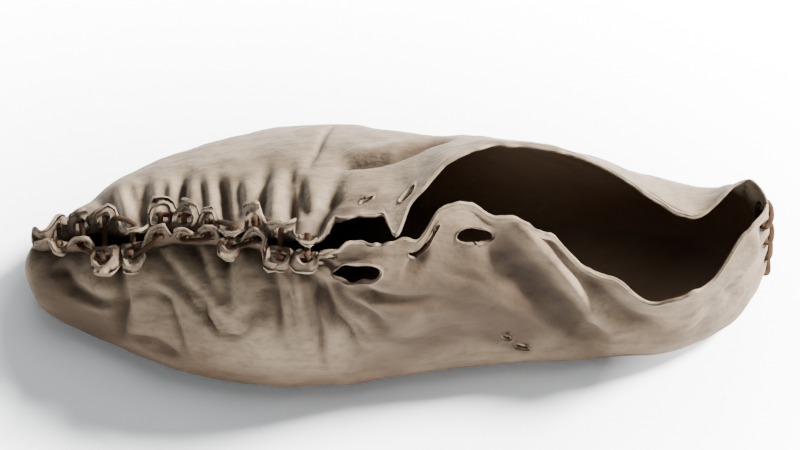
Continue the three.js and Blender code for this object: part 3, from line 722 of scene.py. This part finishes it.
def open_holes(outer, inner, sheet, holes):
    """Cells taken out for the openings, with the points at their edges moved onto a smooth outline."""
    n, m = sheet.below.shape
    removed = np.zeros((n, m - 1), bool)
    into = np.zeros((n, m, 3))
    new_outer, new_inner = outer.copy(), inner.copy()
    for kind, side, centre, half in holes:
        u, v, here = hole_coordinates(kind, side, sheet)
        du, dv = (u - centre[0]) / half[0], (v - centre[1]) / half[1]
        away = np.maximum(np.hypot(du, dv), 1e-6)
        if kind == "slit":
            cell = np.maximum(np.abs(column_means(du)), np.abs(column_means(dv)))
        else:
            cell = column_means(away)
        cell = (cell[:, 1:] + cell[:, :-1]) / 2
        valid = here & np.roll(here, -1, 0)
        gone = (cell < 1) & valid[:, 1:] & valid[:, :-1]
        if not gone.any():
            continue
        removed |= gone
        touch = np.zeros((n, m), int)
        for beside in (gone, np.roll(gone, 1, 0)):
            touch[:, :-1] += beside
            touch[:, 1:] += beside
        edge = (touch > 0) & (touch < 4)
        if kind == "slit":
            edge &= np.abs(dv) < 0.98
        i, j = np.nonzero(edge)
        if kind == "slit":
            step_u = np.sign(du[i, j]) * half[0] - du[i, j] * half[0]
            step_v = 0 * step_u
        else:
            step_u = du[i, j] * half[0] * (1 / away[i, j] - 1)
            step_v = dv[i, j] * half[1] * (1 / away[i, j] - 1)
        grad_u = (u[(i + 1) % n, j] - u[i - 1, j]) / 2
        lower, upper = np.maximum(j - 1, 0), np.minimum(j + 1, m - 1)
        grad_v = (v[i, upper] - v[i, lower]) / (upper - lower)
        move_i = step_u / np.where(np.abs(grad_u) < 1e-3, 1e-3, grad_u)
        move_j = step_v / np.where(np.abs(grad_v) < 1e-3, 1e-3, grad_v)
        move_i = np.clip(move_i, -MOST_COLUMNS_MOVED, MOST_COLUMNS_MOVED)
        move_j = np.clip(move_j, -MOST_ROWS_MOVED, MOST_ROWS_MOVED)
        new_outer[i, j] = sampled(outer, i + move_i, j + move_j)
        new_inner[i, j] = sampled(inner, i + move_i, j + move_j)
        middle = (new_outer[i, j] + new_inner[i, j]) / 2
        heart = middle.mean(0)
        if kind == "slit":
            heart = middle * (1, 0, 1) + heart * (0, 1, 0)
        into[i, j] = unit(heart - middle) * HOLE_ROUNDING * WALL
    return new_outer, new_inner, removed, into


def located(u, v, here, centre):
    """Place in the grid of a point given by its flat coordinates."""
    away = np.where(here, np.hypot(u - centre[0], v - centre[1]), 1e9)
    i, j = np.unravel_index(np.argmin(away), away.shape)
    j = min(max(j, 1), u.shape[1] - 2)
    step_u = (u[(i + 1) % len(u), j] - u[i - 1, j]) / 2
    step_v = (v[i, j + 1] - v[i, j - 1]) / 2
    return np.array([i + (centre[0] - u[i, j]) / step_u]), np.array([j + (centre[1] - v[i, j]) / step_v])


def eyelet_centres(outer, inner, sheet, holes):
    """Mid-wall point and outward normal at each eyelet, and on the heel slit beside its eyelets."""
    normal = normals_of(outer)
    wanted = {}
    for side in ("med", "lat"):
        ours = [centre for kind, which, centre, _ in holes if kind == "seam" and which == side]
        for i, centre in enumerate(ours):
            wanted[side, i] = ("seam", side, centre)
    heel_places = (("heel_med", -HEEL_EYELET_SPREAD), ("slit", 0.0), ("heel_lat", HEEL_EYELET_SPREAD))
    for pair in range(HEEL_EYELET_PAIRS):
        for name, across in heel_places:
            wanted[name, pair] = ("heel", "", (across, heel_eyelet_height(pair)))
    centres = {}
    for key, (kind, side, centre) in wanted.items():
        u, v, here = hole_coordinates(kind, side, sheet)
        i, j = located(u, v, here, centre)
        point = (sampled(outer, i, j) + sampled(inner, i, j))[0] / 2
        centres[key] = (point, unit(sampled(normal, i, j))[0])
    return centres


def hide_mesh():
    """The hide's points, faces and the values that its material reads, and its eyelets' centres."""
    sheet = plain_grid(column_places())
    grid, below, from_edge, toeward = sheet.grid, sheet.below, sheet.from_edge, -sheet.rim_x
    box_lo, box_hi = grid.reshape(-1, 3).min(0), grid.reshape(-1, 3).max(0)
    lo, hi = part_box("hide_sole_and_upper")
    move = np.array([(lo[k] + hi[k]) / 2 / MM - (box_lo[k] + box_hi[k]) / 2 for k in (0, 1)] + [0.0])
    depth, crease_shade, stain_and_shade = folded(sheet)
    # The front seam's ears made darker
    darker_ears = smoothstep(toeward, 0.04 * LENGTH, 0.08 * LENGTH)[:, None]
    stain_and_shade = np.maximum(stain_and_shade, 0.55 * smoothstep(-below, 0, 2) * darker_ears)
    normal = normals_of(grid)
    outer = curled(sheet)
    off_sole = smoothstep(grid[..., 2], 0.5, 6.0)
    loose = 1 + 1.2 * np.exp(-from_edge / 9)
    lumps = 0.6 * loose * value_noise(grid, 17.0, 5) + 0.4 * value_noise(grid, 7.0, 6)
    lumps += 0.2 * value_noise(grid * (0.5, 1, 1), 2.8, 7)
    depth = depth - lumps * off_sole
    ears = np.arange(grid.shape[1]) > BEND_ROW
    outer -= normal * (depth * np.where(ears, 0.4, 1.0))[..., None]
    gnarled = smoothstep(-below, 0.5, 2.5) * smoothstep(toeward, 0.05 * LENGTH, 0.1 * LENGTH)[:, None]
    gnarls = np.stack([value_noise(grid, 2.6, seed) for seed in (51, 52, 53)], -1)
    outer += 0.55 * gnarls * gnarled[..., None]
    outer[..., 2] = np.maximum(outer[..., 2], 0.0)
    thickness = WALL * (0.62 + 0.38 * smoothstep(from_edge, 0.5, 7))
    inner = outer - normals_of(outer) * thickness[..., None]
    holes = hole_list()
    centres = eyelet_centres(outer + move, inner + move, sheet, holes)
    outer, inner, removed, into = open_holes(outer, inner, sheet, holes)
    points, faces, used = assemble(outer + move, inner + move, removed, into)
    values = shades(sheet, crease_shade, stain_and_shade, used)
    live = np.unique(faces)
    renumber = np.full(len(points), -1)
    renumber[live] = np.arange(len(live))
    values = {name: column[live] for name, column in values.items()}
    return points[live], renumber[faces], values, centres


def open_edges(kept, index, following):
    """Pairs of neighbouring points with a kept cell on one side only."""
    n, m = index.shape
    kept_below = np.zeros((n, m), bool)
    kept_below[:, 1:] = kept
    kept_above = np.zeros((n, m), bool)
    kept_above[:, :-1] = kept
    kept_before = np.roll(kept, 1, 0)
    edges = []
    for i, j in np.argwhere((kept_below != kept_above) & (np.arange(m) > 0)):
        pair = (index[i, j], following[i, j])
        edges.append(pair if kept_below[i, j] else pair[::-1])
    for i, j in np.argwhere(kept_before != kept):
        pair = (index[i, j], index[i, j + 1])
        edges.append(pair[::-1] if kept_before[i, j] else pair)
    return np.array(edges)


def assemble(outer, inner, removed, into):
    """The hide as one closed mesh: outer face, inner face and rounded edges between them."""
    n, m = outer.shape[:2]
    index = np.arange(n * m).reshape(n, m)
    index[:, 0] = np.minimum(np.arange(n), (n - np.arange(n)) % n) * m
    tip = unit(outer[:, -1] - outer[:, -2] + inner[:, -1] - inner[:, -2]) * 0.5 * WALL
    into[:, -1] = np.where(np.linalg.norm(into[:, -1], axis=-1, keepdims=True) > 0, into[:, -1], tip)
    kept = ~removed
    following = np.roll(index, -1, 0)
    quads = np.stack([index[:, :-1], following[:, :-1], following[:, 1:], index[:, 1:]], -1)[kept]
    faces = [quads[:, ::-1], quads + n * m]
    edges = open_edges(kept, index, following)
    used = np.unique(edges)
    ring_of = np.full(n * m, -1)
    ring_of[used] = np.arange(len(used))
    outer, inner, into = (face.reshape(-1, 3) for face in (outer, inner, into))
    middle = (outer[used] + inner[used]) / 2
    arm = outer[used] - middle
    points = [outer, inner]
    chain = [edges]
    for k, angle in enumerate(RIM_ANGLES):
        points.append(middle + arm * math.cos(angle) + into[used] * math.sin(angle))
        chain.append(2 * n * m + k * len(used) + ring_of[edges])
    chain.append(edges + n * m)
    for near, far in zip(chain, chain[1:]):
        faces.append(np.stack([near[:, 0], near[:, 1], far[:, 1], far[:, 0]], -1))
    return np.concatenate(points), np.concatenate(faces), used


def everywhere(outer, inner, ring):
    """A value at every point: outer face, inner face, then the rows of the rounded rim."""
    return np.concatenate([outer, inner] + [ring] * len(RIM_ANGLES))


def shades(sheet, crease_shade, stain_and_shade, used):
    """The values from 0 to 1 that the hide's material reads; used are the points on open edges."""
    grid, below, from_edge = sheet.grid, sheet.below, sheet.from_edge
    medial = sheet.medial[:, None]
    # Browner and darker on the medial side and towards the floor: the hide's tone with painted shade
    low = 1 - smoothstep(grid[..., 2], 4, 34)
    brown_and_shade = np.where(medial, 0.35 + 0.65 * low, 0.25 * low).reshape(-1)
    beside = 0.3 * np.exp(-from_edge / 1.6).reshape(-1)
    beside[used] = 0.45
    deep = smoothstep(from_edge, 7, 15).reshape(-1)
    patchy = (0.6 + 0.5 * value_noise(grid, 5.0, 41)) * (0.75 + crease_shade) * np.where(medial, 0.6, 1.0)
    seam = smoothstep(-grid[..., 0], -0.02 * LENGTH, 0.06 * LENGTH)
    # Dirt and painted shade just below the ears and on them at the front seam, patchy and darker in the
    # creases
    under = 1.4 * np.exp(-((below - 3) / 5) ** 2) + 0.85 * (1 - smoothstep(below, -3, 1))
    grime_and_shade = np.clip(seam * under * patchy, 0, 1).reshape(-1)
    # Painted shade on the inner face below the seam and on the ears' inner faces
    ears = (0.55 + 0.45 * value_noise(grid, 2.2, 42)) * np.exp(-np.maximum(1.5 - from_edge, 0))
    inner_face_shade = seam * np.maximum(0.9 * smoothstep(below, -6, 0), ears)
    inner_grime_and_shade = np.maximum(grime_and_shade, inner_face_shade.reshape(-1))
    crease_shade, stain_and_shade = crease_shade.reshape(-1), stain_and_shade.reshape(-1)
    return {
        "rim": everywhere(beside, beside, np.ones(len(used))),
        "inside": everywhere(0 * deep, 0.3 + 0.7 * deep, np.full(len(used), 0.3)),
        "crease_shade": everywhere(crease_shade, crease_shade * 0.5, crease_shade[used] * 0.3),
        "brown_and_shade": everywhere(brown_and_shade, brown_and_shade, brown_and_shade[used]),
        "grime_and_shade": everywhere(grime_and_shade, inner_grime_and_shade, 0.35 * grime_and_shade[used]),
        "stain_and_shade": everywhere(stain_and_shade, 0 * stain_and_shade, 0.5 * stain_and_shade[used]),
    }


def add_mesh(name, points, faces, values, material):
    mesh = bpy.data.meshes.new(name)
    mesh.from_pydata((points * MM).tolist(), [], [tuple(dict.fromkeys(face)) for face in faces.tolist()])
    for key, column in values.items():
        attribute = mesh.attributes.new(key, "FLOAT", "POINT")
        attribute.data.foreach_set("value", np.asarray(column, np.float32))
    mesh.polygons.foreach_set("use_smooth", [True] * len(mesh.polygons))
    mesh.materials.append(material)
    mesh.update()
    piece = bpy.data.objects.new(name, mesh)
    bpy.context.scene.collection.objects.link(piece)
    return piece


def spline(points, count):
    """Smooth open curve through the points."""
    points = np.asarray(points, float)
    padded = np.concatenate([points[:1], points, points[-1:]])
    t = np.linspace(0, len(points) - 1, count)
    i = np.minimum(t.astype(int), len(points) - 2)
    f = (t - i)[:, None]
    before, here, after, later = (padded[i + k] for k in range(4))
    return 0.5 * (2 * here + (after - before) * f + (2 * before - 5 * here + 4 * after - later) * f ** 2
                  + (3 * here - before - 3 * after + later) * f ** 3)


def rounded(share):
    return math.copysign(abs(share) ** 0.8, share)


def strap(points, count, name, material):
    """A flat thong with rounded edges along a curve."""
    line = spline(points, count)
    ahead = unit(np.gradient(line, axis=0))
    across = unit(np.cross(ahead, (0, 0, 1)))
    lift = unit(np.cross(across, ahead))
    rings = []
    for k in range(THONG_SIDES):
        angle = 2 * math.pi * k / THONG_SIDES
        wide = THONG_WIDTH / 2 * rounded(math.cos(angle))
        thick = THONG_THICKNESS / 2 * rounded(math.sin(angle))
        rings.append(line + across * wide + lift * thick)
    rings = np.stack(rings, 1)
    rings += 0.12 * value_noise(rings, 2.5, 11)[..., None]
    flat = rings.reshape(-1, 3)
    points = np.concatenate([flat, line[[0, -1]]])
    neighbours = [(k, (k + 1) % THONG_SIDES) for k in range(THONG_SIDES)]
    last = (count - 1) * THONG_SIDES
    faces = []
    for start in range(0, last, THONG_SIDES):
        end = start + THONG_SIDES
        faces += [[start + k, start + after, end + after, end + k] for k, after in neighbours]
    for k, after in neighbours:
        faces.append([len(flat), after, k, k])
        faces.append([len(flat) + 1, last + k, last + after, last + after])
    return add_mesh(name, points, np.array(faces), {"crease_shade": np.zeros(len(points))}, material)


def front_thong_points(centres):
    """From outside one ear, through both eyelets, to outside the other, and on to the next pair."""
    points = []
    reach = WALL / 2 + THONG_THICKNESS / 2 + FRONT_THONG_CLEARANCE
    laced = np.flatnonzero(EYELETS["laced"])
    for count, i in enumerate(laced):
        ends = [centres["med", i], centres["lat", i]]
        if count % 2:
            ends.reverse()
        (first, first_out), (last, last_out) = ends
        sag = (first + last) / 2 - (0, 0, THONG_SAG * np.linalg.norm(last - first))
        points += [first + first_out * reach, first, sag, last, last + last_out * reach]
    return points


def heel_thong_points(centres):
    """Bars over the heel's slit, joined by runs inside the hide."""
    points = []
    reach = WALL / 2 + THONG_THICKNESS / 2 + HEEL_THONG_CLEARANCE
    for pair in range(HEEL_EYELET_PAIRS):
        (near, near_out), (middle, middle_out), (far, far_out) = (
            centres[side, pair] for side in ("heel_med", "slit", "heel_lat"))
        bar = [near - near_out * reach, near + near_out * reach, middle + middle_out * reach,
               far + far_out * reach, far - far_out * reach]
        points += bar[::-1] if pair % 2 else bar
    return points


def shader(name, roughness, specular):
    """A new material with one principled shader."""
    material = bpy.data.materials.new(name)
    material.use_nodes = True
    tree = material.node_tree
    tree.nodes.clear()
    output = tree.nodes.new("ShaderNodeOutputMaterial")
    principled = tree.nodes.new("ShaderNodeBsdfPrincipled")
    principled.inputs["Roughness"].default_value = roughness
    principled.inputs["Specular IOR Level"].default_value = specular
    tree.links.new(principled.outputs["BSDF"], output.inputs["Surface"])
    return material, tree, principled


def new_node(tree, kind, inputs, **settings):
    """A node with its settings and inputs. An input given as a socket is linked."""
    node = tree.nodes.new("ShaderNode" + kind)
    for name, value in settings.items():
        setattr(node, name, value)
    for name, value in inputs.items():
        if isinstance(value, bpy.types.NodeSocket):
            tree.links.new(value, node.inputs[name])
        else:
            node.inputs[name].default_value = value
    return node


def mixed(tree, share, a, b):
    """A colour between a and b, each a colour or a socket."""
    return new_node(tree, "Mix", {0: share, 6: a, 7: b}, data_type="RGBA").outputs[2]


def ranged(tree, value, low, high, to_low=0.0, to_high=1.0):
    """A value taken from the range low to high into to_low to to_high."""
    limits = {"From Min": low, "From Max": high, "To Min": to_low, "To Max": to_high}
    return new_node(tree, "MapRange", {"Value": value, **limits}).outputs["Result"]


def layered(tree, colour, value, low, high, most, over):
    """A colour with another laid over it, up to a share of most as value goes from low to high."""
    return mixed(tree, ranged(tree, value, low, high, 0, most), colour, over)


def noise(tree, scale, detail, stretch=(1, 1, 1), kind="FBM"):
    """A noise texture fixed to the object."""
    place = new_node(tree, "TexCoord", {}).outputs["Object"]
    mapping = new_node(tree, "Mapping", {"Vector": place, "Scale": stretch})
    inputs = {"Vector": mapping.outputs["Vector"], "Scale": scale, "Detail": detail}
    return new_node(tree, "TexNoise", inputs, noise_type=kind).outputs["Fac"]


def attribute(tree, name):
    return new_node(tree, "Attribute", {}, attribute_name=name).outputs["Fac"]


GREY = (0.115, 0.087, 0.058, 1)
BROWN = (0.07, 0.041, 0.024, 1)
PALE = (0.2, 0.153, 0.102, 1)
# DARK also paints the shade in the creases
DARK = (0.022, 0.013, 0.008, 1)
# Dark brown of the dirt and painted shade under the ears and inside the seam
DIRT_AND_SHADE = (0.03, 0.018, 0.011, 1)
# Dark brown of the stains and of the painted shade laid with them
STAIN_AND_SHADE = (0.036, 0.0222, 0.012, 1)
FLESH = (0.135, 0.087, 0.053, 1)
THONG_BROWN = (0.042, 0.022, 0.012, 1)
THONG_DARK = (0.016, 0.009, 0.005, 1)
FLOOR_PALE = (0.9, 0.93, 0.95, 1)
FLOOR_GLOW = (0.97, 0.99, 1.0, 1)
MOST_GLOW = 9.0


def hide_material():
    material, tree, principled = shader("hide", 0.82, 0.2)
    broad = noise(tree, 30, 4)
    fine = noise(tree, 150, 6)
    grain = noise(tree, 800, 4, (0.4, 1, 1))
    streaks = noise(tree, 240, 5, (0.16, 1, 1))
    # Grey hide turning brown, with painted shade, on the medial side and towards the floor
    colour = mixed(tree, attribute(tree, "brown_and_shade"), GREY, BROWN)
    for texture, low, high, most, over in (
            (broad, 0.42, 0.7, 0.5, PALE), (fine, 0.5, 0.72, 0.45, BROWN),
            (streaks, 0.52, 0.7, 0.35, DARK), (grain, 0.5, 0.7, 0.3, DARK)):
        colour = layered(tree, colour, texture, low, high, most, over)
    # Stains and painted shade
    colour = mixed(tree, attribute(tree, "stain_and_shade"), colour, STAIN_AND_SHADE)
    colour = layered(tree, colour, attribute(tree, "inside"), 0.3, 1, 0.85, FLESH)
    # Dirt and painted shade under the ears, in the pleats and inside the seam
    colour = layered(tree, colour, attribute(tree, "grime_and_shade"), 0.1, 0.9, 0.92, DIRT_AND_SHADE)
    # Painted shade in the fold troughs
    colour = layered(tree, colour, attribute(tree, "crease_shade"), 0.1, 1, 0.75, DARK)
    worn = mixed(tree, ranged(tree, fine, 0.38, 0.56), PALE, STAIN_AND_SHADE)
    colour = layered(tree, colour, attribute(tree, "rim"), 0.3, 1, 0.33, worn)
    tree.links.new(colour, principled.inputs["Base Color"])
    wrinkles = noise(tree, 75, 5, (0.45, 1, 1), "RIDGED_MULTIFRACTAL")
    under = {}
    # Height, distance in metres and strength
    bumps = ((wrinkles, 0.0012, 0.45), (fine, 0.0009, 0.6), (streaks, 0.0006, 0.6), (grain, 0.0003, 0.5))
    for height, distance, strength in bumps:
        inputs = {"Strength": strength, "Distance": distance, "Height": height, **under}
        normal = new_node(tree, "Bump", inputs).outputs["Normal"]
        under = {"Normal": normal}
    tree.links.new(normal, principled.inputs["Normal"])
    return material


def thong_material():
    material, tree, principled = shader("thong", 0.95, 0.08)
    grain = noise(tree, 400, 4)
    colour = mixed(tree, ranged(tree, grain, 0.35, 0.7), THONG_BROWN, THONG_DARK)
    tree.links.new(colour, principled.inputs["Base Color"])
    return material


def floor_material():
    """A pale floor that glows more the farther it is from the shoe."""
    material, tree, principled = shader("backdrop", 0.9, 0.1)
    principled.inputs["Base Color"].default_value = FLOOR_PALE
    place = new_node(tree, "TexCoord", {}).outputs["Object"]
    inputs = {"Vector": place, "Location": (0.03, 0.03, 0), "Scale": (1.0, 1.7, 1.0)}
    mapping = new_node(tree, "Mapping", inputs)
    ring = new_node(tree, "VectorMath", {0: mapping.outputs["Vector"]}, operation="LENGTH")
    glow = ranged(tree, ring.outputs["Value"], 0.1, 0.27, 0.0, MOST_GLOW)
    principled.inputs["Emission Color"].default_value = FLOOR_GLOW
    tree.links.new(glow, principled.inputs["Emission Strength"])
    return material


def area_light(name, place, target, size, power, colour):
    light = bpy.data.lights.new(name, "AREA")
    light.shape = "DISK"
    light.size = size
    light.energy = power
    light.color = colour
    lamp = bpy.data.objects.new(name, light)
    lamp.location = place
    lamp.rotation_euler = (Vector(target) - Vector(place)).to_track_quat("-Z", "Y").to_euler()
    bpy.context.scene.collection.objects.link(lamp)


points, faces, values, centres = hide_mesh()
hide = add_mesh("hide_looks", points, faces, values, hide_material())
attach(hide, "root")
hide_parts("hide_sole_and_upper")

thong_finish = thong_material()
front = strap(front_thong_points(centres), FRONT_THONG_RINGS, "front_thong_looks", thong_finish)
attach(front, "root")
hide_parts("front_thong")
heel = strap(heel_thong_points(centres), HEEL_THONG_RINGS, "heel_thong_looks", thong_finish)
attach(heel, "root")
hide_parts("heel_thong")

# Pale floor and background
bpy.ops.mesh.primitive_plane_add(size=12, location=(0, 0, 0))
floor = bpy.context.object
floor.name = "floor"
floor.data.materials.append(floor_material())

world = bpy.data.worlds.new("pale")
bpy.context.scene.world = world
world.use_nodes = True
background = world.node_tree.nodes["Background"].inputs
background["Color"].default_value = (0.86, 0.93, 1.0, 1)
background["Strength"].default_value = 0.2

area_light("key", (1.1, 0.45, 0.85), (0, 0, 0.03), 0.35, 250, (1.0, 0.97, 0.93))
area_light("front", (0.75, -1.0, 0.4), (0, 0, 0.03), 0.7, 6, (0.98, 0.99, 1.0))
area_light("overhead", (0.1, 0.2, 1.4), (0, 0, 0), 1.2, 9, (0.96, 0.98, 1.0))

# Camera of the photo: 58 degrees up from the floor, seen from the medial side
ELEVATION = math.radians(58)
DISTANCE = 0.925
AIM_ABOVE_CENTRE = 0.0206
CENTRE = Vector((0, -0.0033, 0))
look = Vector((0, math.sin(ELEVATION), math.cos(ELEVATION))) * AIM_ABOVE_CENTRE + CENTRE
camera_data = bpy.data.cameras.new("camera")
camera_data.sensor_width = 36
camera_data.lens = 125
camera = bpy.data.objects.new("camera", camera_data)
camera.location = CENTRE + Vector((0, -math.cos(ELEVATION), math.sin(ELEVATION))) * DISTANCE
camera.rotation_euler = (look - camera.location).to_track_quat("-Z", "Y").to_euler()
bpy.context.scene.collection.objects.link(camera)
bpy.context.scene.camera = camera
